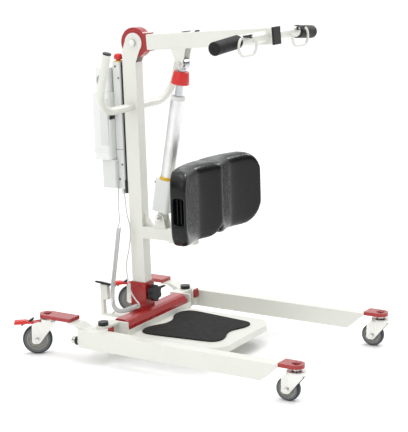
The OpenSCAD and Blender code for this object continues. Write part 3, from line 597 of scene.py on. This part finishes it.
def build_handle_caps():
    """Black plugs in the upturned ends of the push handle."""
    up = Vector((math.sin(HANDLE_LEAN), 0, math.cos(HANDLE_LEAN)))
    for side, sign in SIDES:
        x, y, z = HANDLE_BEND
        end = spot(x, sign * y, z) + up * HANDLE_UP * MM
        outline = [(0.0, 0.0002), (13.05 * MM, 0.0002), (13.05 * MM, -0.0016), (13.6 * MM, -0.0016),
                   (13.9 * MM, -0.001), (13.9 * MM, 0.002), (13.0 * MM, 0.0036), (9.0 * MM, 0.0042),
                   (0.0, 0.0044)]
        lathe(f"handle_cap_{side}", outline, axis_matrix(end, up), BLACK_PLASTIC, "chassis")


build_handle_caps()

# ------------------------------------------------------------------ knee pad

PAD_FRONT_X = 306 * MM       # the deepest line of both knee hollows, in front of the mast's axis
PAD_REAR_X = 237 * MM        # the flat middle of the back
PAD_HOLLOW = 0.42            # where a hollow is deepest, as a share of the pad's half width
PAD_RIB = 28 * MM            # how far the middle rib stands out of the hollows
PAD_WING = 40 * MM           # how far the wings come forward
PAD_SWEEP = 50 * MM          # how far the back follows the wings
PAD_ROLL = 26 * MM           # radius of the front face's upper and lower edges
PAD_CORNERS = {"low_side": 66 * MM, "low_middle": 44 * MM, "high_side": 52 * MM, "high_middle": 9 * MM}
PAD_VOXEL = 4.2 * MM
POCKET_X = 315 * MM          # the middle of the pocket in both sides


def corner_rise(radius, inside):
    """How far a rounded corner has left its straight edge, at a distance inside the outline."""
    reach = max(0.0, radius - inside)
    return radius - math.sqrt(max(0.0, radius ** 2 - reach ** 2))


def pad_blank(low, high):
    """The pad's sharp-edged blank: two knee hollows, a rib between them and forward wings."""
    half_width = high.y
    across, up = 96, 60

    def front(t):
        rib = PAD_RIB * max(0.0, 1.0 - abs(t) / PAD_HOLLOW) ** 1.35
        wing = PAD_WING * max(0.0, (abs(t) - PAD_HOLLOW) / (1.0 - PAD_HOLLOW)) ** 1.35
        return MAST_X + PAD_FRONT_X + rib + wing

    def rear(t):
        return MAST_X + PAD_REAR_X + PAD_SWEEP * (max(0.0, abs(t) - 0.25) / 0.75) ** 1.6

    bm = bmesh.new()
    sheets = []
    for side in (front, rear):
        sheet = []
        for i in range(across + 1):
            t = math.sin(math.pi * (i / across - 0.5))
            y = t * half_width
            from_side, from_middle = half_width - abs(y), abs(y) + 3 * MM
            bottom = low.z + max(corner_rise(PAD_CORNERS["low_side"], from_side),
                                 corner_rise(PAD_CORNERS["low_middle"], from_middle))
            top = high.z - max(corner_rise(PAD_CORNERS["high_side"], from_side),
                               corner_rise(PAD_CORNERS["high_middle"], from_middle))
            column = []
            for k in range(up + 1):
                height = (top - bottom) * k / up
                inside = min(height, top - bottom - height)
                roll = corner_rise(PAD_ROLL, inside) if side is front else 0.0
                column.append(bm.verts.new((side(t) - roll, y, bottom + height)))
            sheet.append(column)
        sheets.append(sheet)
    for sheet in sheets:
        for i in range(across):
            for k in range(up):
                bm.faces.new((sheet[i][k], sheet[i + 1][k], sheet[i + 1][k + 1], sheet[i][k + 1]))
    a, b = sheets
    for i in range(across):
        for k in (0, up):
            bm.faces.new((a[i][k], a[i + 1][k], b[i + 1][k], b[i][k]))
    for k in range(up):
        for i in (0, across):
            bm.faces.new((a[i][k], a[i][k + 1], b[i][k + 1], b[i][k]))
    return from_bmesh("knee_pad_blank", bm)


def build_knee_pad():
    """The moulded pad: its blank, hollowed at both sides, then remeshed and softened."""
    low, high, centre = node_box("knee_pad")
    pad = bpy.data.objects.new("knee_pad_blank", pad_blank(low, high))
    bpy.context.collection.objects.link(pad)
    bm = bmesh.new()
    for _, sign in SIDES:
        hole = bmesh.ops.create_cube(bm, size=1.0)["verts"]
        bmesh.ops.scale(bm, vec=(38 * MM, 44 * MM, 84 * MM), verts=hole)
        bmesh.ops.translate(bm, vec=(MAST_X + POCKET_X, sign * high.y, centre.z), verts=hole)
    cutter = bpy.data.objects.new("pad_cutter", from_bmesh("pad_cutter", bm))
    bpy.context.collection.objects.link(cutter)
    pocket = pad.modifiers.new("pockets", "BOOLEAN")
    pocket.object = cutter
    pocket.operation = "DIFFERENCE"
    pocket.solver = "EXACT"
    remesh = pad.modifiers.new("remesh", "REMESH")
    remesh.mode = "VOXEL"
    remesh.voxel_size = PAD_VOXEL
    soften = pad.modifiers.new("soften", "SMOOTH")
    soften.factor = 0.6
    soften.iterations = 9
    refine = pad.modifiers.new("refine", "SUBSURF")
    refine.levels = refine.render_levels = 1
    baked = bpy.data.meshes.new_from_object(pad.evaluated_get(bpy.context.evaluated_depsgraph_get()))
    bpy.data.objects.remove(pad)
    bpy.data.objects.remove(cutter)
    skin = put("knee_pad_skin", baked, PAD, "pad_holder", None)
    skin.data.shade_smooth()
    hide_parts("knee_pad")
    for name, sign in SIDES:
        face = Matrix.Translation((MAST_X + POCKET_X, sign * high.y, centre.z))
        face = face @ Matrix.Rotation(0 if sign > 0 else math.pi, 4, "Z")
        block(f"pad_pocket_{name}", (-21 * MM, -21.5 * MM, -44 * MM), (21 * MM, -19.5 * MM, 44 * MM),
              BLACK_PLASTIC, "pad_holder", 0.6 * MM, 2, face)
        for n, x in enumerate((-8, 6)):
            block(f"pad_pocket_rib_{name}_{n}", ((x - 1.5) * MM, -20 * MM, -40 * MM),
                  ((x + 1.5) * MM, -6 * MM, 38 * MM), PAD, "pad_holder", 1.2 * MM, 3, face)


build_knee_pad()

# ------------------------------------------------------------------ cords

COIL_R = 6.5 * MM            # from the coil's axis to the wire's axis
COIL_PITCH = 6.2 * MM
COIL_WIRE = 2.15 * MM        # the wire's own radius
LEAD_R = 2.4 * MM


def coil_points(path, radius, pitch, per_turn=14):
    """A helix of the given radius wound round a smooth path of points."""
    samples = []
    for i in range(len(path) - 1):
        p0 = path[max(i - 1, 0)]
        p1, p2 = path[i], path[i + 1]
        p3 = path[min(i + 2, len(path) - 1)]
        for k in range(40):
            t = k / 40
            samples.append(0.5 * ((2 * p1) + (p2 - p0) * t + (2 * p0 - 5 * p1 + 4 * p2 - p3) * t * t
                                  + (3 * p1 - p0 - 3 * p2 + p3) * t * t * t))
    samples.append(path[-1])
    lengths = [0.0]
    for a, b in zip(samples, samples[1:]):
        lengths.append(lengths[-1] + (b - a).length)
    total = lengths[-1]
    count = int(total / pitch * per_turn)
    points, k = [], 0
    side = Vector((0, 1, 0))
    for n in range(count + 1):
        s = total * n / count
        while k < len(lengths) - 2 and lengths[k + 1] < s:
            k += 1
        f = (s - lengths[k]) / max(1e-9, lengths[k + 1] - lengths[k])
        centre = samples[k].lerp(samples[k + 1], f)
        along = (samples[k + 1] - samples[k]).normalized()
        across = (side - along * side.dot(along)).normalized()
        third = along.cross(across)
        a = 2 * math.pi * s / pitch
        points.append(centre + radius * (across * math.cos(a) + third * math.sin(a)))
    return points


def build_cords():
    """The handset's coiled cord, which sags behind the mast, and the two plain leads at its ends."""
    path = [spot(-44, -60, 400), spot(-65, -60, 280), spot(-82, -60, 185), spot(-85, -60, 142),
            spot(-78, -61, 119), spot(-60, -64, 109), spot(-30, -70, 114), spot(4, -73, 128),
            spot(36, -76, 142)]
    turns = coil_points(path, COIL_R, COIL_PITCH)
    coil = sweep("handset_coil", turns, COIL_WIRE, CORD, "chassis", 8, smooth_path=False)
    sweep("coil_lead", [spot(-44, -66, 400), spot(-40, -60, 420), spot(-55, -42, 473), spot(-62, -26, 528)],
          LEAD_R, CORD, "chassis")
    sweep("coil_tail", [spot(32, -74, 140), spot(38, -76, 146), spot(22, -68, 155), spot(-2, -60, 175),
                        spot(-19, -52, 202), spot(-28, -46, 229), spot(-33, -40, 270), spot(-20, -38, 331),
                        spot(-14, -36, 389), spot(-30, -30, 450), spot(-48, -14, 528)],
          LEAD_R, CORD, "chassis")
    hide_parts("cords")


build_cords()

# ------------------------------------------------------------------ boom details


def build_boom_details():
    """The sleeve at the boom's root, the pivot's caps, the rod pin's nuts and the cross tube's welds."""
    pivot_x, pivot_z = BOOM_PIVOT
    tilt = Matrix.Translation(spot(pivot_x, 0, pivot_z)) @ Matrix.Rotation(-BOOM_TILT, 4, "Y")
    block("boom_sleeve", (57 * MM, -20.7 * MM, -25.7 * MM), (231 * MM, 20.7 * MM, 25.7 * MM),
          WHITE_PAINT, "lift_boom", 3.2 * MM, 4, tilt)
    for name, sign in SIDES:
        out = axis_matrix(spot(pivot_x, -28.0 if sign < 0 else 26.0, pivot_z), (0, sign, 0))
        cap = [(0.0, 0.0035), (7.0 * MM, 0.0030), (10.5 * MM, 0.0012), (11.6 * MM, -0.0005), (0.0, -0.0005)]
        lathe(f"pivot_cap_{name}", cap[::-1], out, WHITE_PLASTIC, "chassis", 40, 50.0)
        nut = tilt @ Matrix.Translation((173.8 * MM, sign * 24.8 * MM, -75.4 * MM))
        nut = nut @ Matrix.Rotation(math.radians(-90 * sign), 4, "X")
        hexagon(f"rod_pin_nut_{name}", 11 * MM, 3.2 * MM, nut, ZINC, "lift_boom")
        weld = tilt @ Matrix.Translation((498 * MM, sign * 21.2 * MM, 0))
        weld = weld @ Matrix.Rotation(math.radians(90), 4, "X")
        bead = []
        for i in range(12):
            a = 2 * math.pi * i / 12
            bead.append(((17.6 + 1.6 * math.cos(a)) * MM, 1.7 * math.sin(a) * MM))
        lathe(f"cross_tube_weld_{name}", bead, weld, WHITE_PAINT, "lift_boom", 48, 80.0)


build_boom_details()

# ------------------------------------------------------------------ actuator details


def build_actuator_details():
    """Rings, ribs and seams of the actuator, from its lower pin up."""
    pin_x, pin_z = ACTUATOR_PIN
    lean = Matrix.Translation(spot(pin_x, 0, pin_z)) @ Matrix.Rotation(ACTUATOR_LEAN, 4, "Y")

    def along(s):
        return lean @ Matrix.Translation((0, 0, s * MM))

    end_ring = [(12.8 * MM, 0.0), (23.6 * MM, 0.0), (24.0 * MM, 0.0012), (24.0 * MM, 0.009),
                (22.6 * MM, 0.0125), (14.0 * MM, 0.0128), (12.8 * MM, 0.0118)]
    lathe("rod_guide", end_ring, along(405), GREY_PLASTIC, "actuator_body", 72)
    for n, angle in enumerate((0, 90, 180, 270)):
        turn = lean @ Matrix.Rotation(math.radians(angle + 45), 4, "Z")
        block(f"tube_rib_{n}", (22.4 * MM, -1.5 * MM, 148 * MM), (23.9 * MM, 1.5 * MM, 404 * MM),
              ALUMINIUM, "actuator_body", 0.5 * MM, 2, turn)
    collar = [(12.7 * MM, 0.0), (27.6 * MM, 0.0), (29.6 * MM, 0.0008), (30.1 * MM, 0.0026),
              (29.7 * MM, 0.007), (28.8 * MM, 0.0076), (28.6 * MM, 0.0105), (29.1 * MM, 0.0112),
              (25.4 * MM, 0.037), (24.0 * MM, 0.0408), (22.0 * MM, 0.0420), (12.7 * MM, 0.0420)]
    cover = lathe("rod_collar_moulding", collar, along(458), RED_GLOSS, "actuator_rod", 72, 28.0)
    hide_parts("rod_collar")
    for name, sign in SIDES:
        low = (-31.5 * MM, sign * 8 * MM - 0.6 * MM, 27 * MM)
        high = (31.5 * MM, sign * 8 * MM + 0.6 * MM, 130 * MM)
        block(f"housing_rib_{name}", low, high, GREY_PLASTIC, "actuator_body", 0.4 * MM, 2, lean)
    plug = [(0.0, -0.002), (5.0 * MM, -0.002), (5.0 * MM, 0.010), (3.6 * MM, 0.016), (0.0, 0.016)]
    rearward = Matrix.Translation((-31 * MM, 0, 112 * MM)) @ Matrix.Rotation(math.radians(-90), 4, "Y")
    lathe("motor_plug", plug, lean @ rearward, BLACK_PLASTIC, "actuator_body", 32)


build_actuator_details()

# ------------------------------------------------------------------ control unit details


def build_control_details():
    """Seams, stop button, a black block of painted shade in the battery's grip recess, cheek and connectors of the
    control unit and its battery.
    """
    near = BOX_NEAR * MM
    for n, z in enumerate((660, 800)):
        block(f"box_seam_{n}", (MAST_X - 65.6 * MM, near - 0.25 * MM, z * MM),
              (MAST_X - 37 * MM, near + 1 * MM, (z + 1.2) * MM), BLACK_PLASTIC, "chassis", 0.2 * MM, 1)
    x, y = STOP_AT
    stop_at = Matrix.Translation((MAST_X + x * MM, y * MM, node_box("control_box")[1].z))
    ring = [(8.3 * MM, 0.0), (15.5 * MM, 0.0), (15.5 * MM, 0.0018), (13.5 * MM, 0.0032), (8.3 * MM, 0.0032)]
    lathe("stop_ring", ring, stop_at, YELLOW, "chassis", 48)
    head = [(0.0, 0.0), (7.9 * MM, 0.0), (8.0 * MM, 0.0075), (13.0 * MM, 0.0075), (15.0 * MM, 0.0095),
            (15.4 * MM, 0.014), (14.6 * MM, 0.020), (12.0 * MM, 0.0242), (6.0 * MM, 0.0262), (0.0, 0.0268)]
    stop = lathe("stop_mushroom", head, stop_at, RED_GLOSS, "stop_switch", 48, 40.0)
    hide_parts("estop_button")
    # Painted shade: a black block in the gap between the battery and the control box, for the shade of the
    # battery's grip recess.
    block("battery_recess_shade", (MAST_X - 66.5 * MM, -53 * MM, 764 * MM), (MAST_X - 62 * MM, -27 * MM, 797 * MM),
          BLACK_PLASTIC, "chassis", 1.8 * MM)
    side = BATTERY_NEAR * MM
    for n, z in enumerate((652, 660)):
        block(f"battery_groove_{n}", (MAST_X - 134 * MM, side - 0.3 * MM, z * MM),
              (MAST_X - 70 * MM, side + 2 * MM, (z + 1.4) * MM), GREY_PLASTIC, "chassis", 0.3 * MM, 1)
    block("battery_cheek", (MAST_X - 104 * MM, side - 1.6 * MM, 676 * MM),
          (MAST_X - 71 * MM, side + 2 * MM, 832 * MM), GREY_PLASTIC, "chassis", 1.4 * MM, 3)
    block("rail_connector", (MAST_X - 37 * MM, -23 * MM, 512 * MM), (MAST_X - 26.4 * MM, 21 * MM, 556 * MM),
          BLACK_PLASTIC, "chassis", 1.5 * MM)
    for n, (x, y) in enumerate(((-44, -10), (-48, -18))):
        plug = [(0.0, 0.0), (3.6 * MM, 0.0), (5.2 * MM, 0.004), (5.6 * MM, 0.017), (0.0, 0.017)]
        lathe(f"lead_plug_{n}", plug, Matrix.Translation(spot(x, y, 509)), GREY_PLASTIC, "chassis", 32)


build_control_details()

# ------------------------------------------------------------------ foot details


def mat_outline():
    """The mat's four lobes with a waist at both ends, in millimetres from the mast's axis."""
    half = []
    for i in range(10):
        half.append((107 - 33 * (i / 9) ** 2.2, 66 * i / 9))
    for i in range(9):
        a = math.radians(195 - 105 * i / 8)
        half.append((117 + 44 * math.cos(a), 102 + 44 * math.sin(a)))
    for i in range(1, 8):
        half.append((117 + 217 * i / 8, 146 - 25 * i / 8))
    for i in range(9):
        a = math.radians(90 - 100 * i / 8)
        half.append((334 + 36 * math.cos(a), 85 + 36 * math.sin(a)))
    for i in range(8):
        half.append((345 + 24 * (1 - i / 7) ** 1.6, 60 * (1 - i / 7)))
    points = half + [(x, -y) for x, y in reversed(half[1:-1])]
    for _ in range(3):
        after = points[1:] + points[:1]
        before = points[-1:] + points[:-1]
        points = [((a[0] + 2 * b[0] + c[0]) / 4, (a[1] + 2 * b[1] + c[1]) / 4)
                  for a, b, c in zip(before, points, after)]
    return points


def build_mat():
    """The footplate's shaped mat, as thick as its CAD solid, with a rounded rim."""
    bm = bmesh.new()
    low, high, _ = node_box("footplate_mat")
    face = bm.faces.new([bm.verts.new((*spot(x, y, 0).xy, low.z)) for x, y in mat_outline()])
    raised = bmesh.ops.extrude_face_region(bm, geom=[face])["geom"]
    top = [v for v in raised if isinstance(v, bmesh.types.BMVert)]
    bmesh.ops.translate(bm, vec=(0, 0, high.z - low.z), verts=top)
    mat = put("mat_sheet", from_bmesh("mat_sheet", bm), MAT, "chassis", 40.0)
    rounded(mat, 1.4 * MM, 3, 50.0)
    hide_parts("footplate_mat")


def build_pedal_rubber():
    """Black anti-slip rubber on the spreader pedal's plate, with raised bars."""
    turn = Matrix.Rotation(PEDAL_PITCH, 4, "Y") @ Matrix.Rotation(PEDAL_ROLL, 4, "X")
    plate = Matrix.Translation(spot(*PEDAL_PLATE)) @ turn
    block("spreader_rubber", (-30 * MM, -24 * MM, -2.9 * MM), (30 * MM, 24 * MM, 3.6 * MM),
          BLACK_PLASTIC, "pedal_crank", 1.2 * MM, 2, plate)
    for n in range(7):
        x = (-26 + 8.0 * n) * MM
        block(f"spreader_bar_{n}", (x, -21 * MM, 3.4 * MM), (x + 3 * MM, 21 * MM, 4.4 * MM),
              BLACK_PLASTIC, "pedal_crank", 0.5 * MM, 2, plate)


build_mat()
build_pedal_rubber()

# ------------------------------------------------------------------ softened CAD edges

EDGE_RADII = {
    2.5: ["footplate", "leg_right", "leg_left", "crossbar", "base_frame"],
    3.0: ["boom", "mast", "pad_carrier", "pad_bracket"],
    1.2: ["castor_plates_right", "castor_plates_left", "pivot_drum", "boom_caps", "footplate_mat",
          "rod_collar", "mast_lever", "spreader_pedal", "leg_pivot_caps", "hook_latch_right",
          "hook_latch_left", "handset", "motor_housing"],
    0.7: ["rear_fork_right", "rear_fork_left", "front_fork_right", "front_fork_left", "mast_pins",
          "rod_pin", "index_plunger", "height_knob", "control_rail", "box_screws", "outer_tube",
          "seal_ring", "rod", "spreader_link_right", "spreader_link_left", "leg_pivot_bolts",
          "button_up", "button_down", "brake_pedal_right", "brake_pedal_left"],
    2.0: ["control_box", "estop_button", "mast_knob"],
    4.0: ["battery_pack"],
}

for edge_radius, nodes in EDGE_RADII.items():
    for node in nodes:
        rounded(NODES[node], edge_radius * MM)

# ------------------------------------------------------------------ stage, light and camera

LENS = 114.7
CAMERA_AT = (MAST_X + 2.515, -3.477, 1.381)
CAMERA_TURN = 32.96      # degrees the view is turned left of +Y
CAMERA_DIP = 12.58
CAMERA_ROLL = -1.93
LIGHT_FROM = Vector((-0.32, -0.42, 0.85))     # the soft room light is strongest from here
# What mirror-like surfaces see, as (angle from the camera as a share of half a turn, brightness).
BOX_LEVELS = (
    (0.0, 0.10), (0.09, 0.22), (0.16, 0.95), (0.30, 0.90),
    (0.42, 0.20), (0.58, 0.22), (0.76, 0.9), (1.0, 1.25),
)
CEILING = 1.5                                 # how bright they see the ceiling
SOFTBOXES = (                                 # name, place, size and power in watts
    ("key", (-0.6, -3.6, 2.6), 1.8, 14.0),
    ("side", (-3.4, -1.6, 2.6), 2.4, 8.0),
    ("top", (-0.3, 0.4, 4.2), 2.4, 44.0),
    ("rim", (0.7, 2.6, 2.6), 0.9, 34.0),
)


def light_room(tree):
    """White behind the object. Other rays see a room: bright above and on the near side, and for
    mirror-like surfaces dark gaps between soft boxes at both sides of the camera."""

    def node(kind, **settings):
        made = tree.nodes.new(kind)
        for key, value in settings.items():
            setattr(made, key, value)
        return made

    def fill(socket, value):
        """Links an output to a socket, or sets the socket to a plain value."""
        if isinstance(value, bpy.types.NodeSocket):
            tree.links.new(value, socket)
        else:
            socket.default_value = value

    def vector_math(operation, a, b=None):
        made = node("ShaderNodeVectorMath", operation=operation)
        fill(made.inputs[0], a)
        if b is not None:
            fill(made.inputs[1], b)
        return made.outputs["Value" if operation == "DOT_PRODUCT" else "Vector"]

    def mix(factor, a, b):
        made = node("ShaderNodeMix")
        fill(made.inputs["Factor"], factor)
        fill(made.inputs["A"], a)
        fill(made.inputs["B"], b)
        return made.outputs["Result"]

    background = tree.nodes["Background"]
    background.inputs["Color"].default_value = (0.98, 0.99, 1.0, 1.0)
    coords = node("ShaderNodeTexCoord").outputs["Generated"]

    # Matt surfaces: a smooth change from one side of the room to the other.
    soft = node("ShaderNodeMapRange")
    fill(soft.inputs["Value"], vector_math("DOT_PRODUCT", coords, LIGHT_FROM))
    soft.inputs["From Min"].default_value = -1.0
    soft.inputs["To Min"].default_value = 0.36
    soft.inputs["To Max"].default_value = 1.35

    # Mirror-like surfaces: brightness by the level angle from the camera, under a bright ceiling.
    level = vector_math("NORMALIZE", vector_math("MULTIPLY", coords, (1.0, 1.0, 0.0)))
    camera_way = Vector((CAMERA_AT[0], CAMERA_AT[1], 0.0)).normalized()
    angle = node("ShaderNodeMath", operation="ARCCOSINE")
    fill(angle.inputs[0], vector_math("DOT_PRODUCT", level, camera_way))
    share = node("ShaderNodeMath", operation="DIVIDE")
    fill(share.inputs[0], angle.outputs[0])
    share.inputs[1].default_value = math.pi
    boxes = node("ShaderNodeValToRGB")
    elements = boxes.color_ramp.elements
    while len(elements) < len(BOX_LEVELS):
        elements.new(0.5)
    for element, (position, brightness) in zip(elements, BOX_LEVELS):
        element.position = position
        element.color = (brightness, brightness, brightness, 1.0)
    fill(boxes.inputs["Fac"], share.outputs[0])
    height = node("ShaderNodeSeparateXYZ")
    fill(height.inputs[0], coords)
    ceiling = node("ShaderNodeMapRange")
    fill(ceiling.inputs["Value"], height.outputs["Z"])
    ceiling.inputs["From Min"].default_value = 0.45
    ceiling.inputs["From Max"].default_value = 0.75
    mirror = mix(ceiling.outputs["Result"], boxes.outputs["Color"], CEILING)

    path = node("ShaderNodeLightPath")
    room = mix(path.outputs["Is Glossy Ray"], soft.outputs["Result"], mirror)
    fill(background.inputs["Strength"], mix(path.outputs["Is Camera Ray"], room, 1.0))


def softbox(name, place, size, power):
    """A square area light that points at the lift's middle."""
    light = bpy.data.lights.new(name, "AREA")
    light.size = size
    light.energy = power
    lamp = bpy.data.objects.new(name, light)
    lamp.location = place
    lamp.rotation_euler = (Vector((0, 0, 0.5)) - Vector(place)).to_track_quat("-Z", "Y").to_euler()
    bpy.context.collection.objects.link(lamp)


def build_stage():
    bpy.ops.mesh.primitive_plane_add(size=80.0, location=(0, 0, 0))
    floor = bpy.context.object
    floor.name = "studio_floor"
    s = Shader("studio_floor", (0.96, 0.96, 0.955), 0.75, shine=0.2)
    s.tint(s.remap(s.noise(2.0), 0.3, 0.7, 0.0, 0.2), (0.94, 0.94, 0.935))
    floor.data.materials.append(s.done())

    world = bpy.data.worlds.new("studio")
    world.use_nodes = True
    light_room(world.node_tree)
    bpy.context.scene.world = world

    for name, place, size, power in SOFTBOXES:
        softbox(name, place, size, power)
    bpy.context.scene.view_settings.view_transform = "Standard"

    data = bpy.data.cameras.new("camera")
    data.lens = LENS
    data.sensor_width = 36.0
    data.sensor_fit = "HORIZONTAL"
    data.clip_end = 50.0
    camera = bpy.data.objects.new("camera", data)
    camera.location = CAMERA_AT
    look = Euler((math.radians(90 - CAMERA_DIP), 0, math.radians(CAMERA_TURN)), "XYZ").to_matrix()
    roll = Matrix.Rotation(math.radians(CAMERA_ROLL), 3, "Z")
    camera.rotation_euler = (look @ roll).to_euler()
    bpy.context.collection.objects.link(camera)
    bpy.context.scene.camera = camera


build_stage()
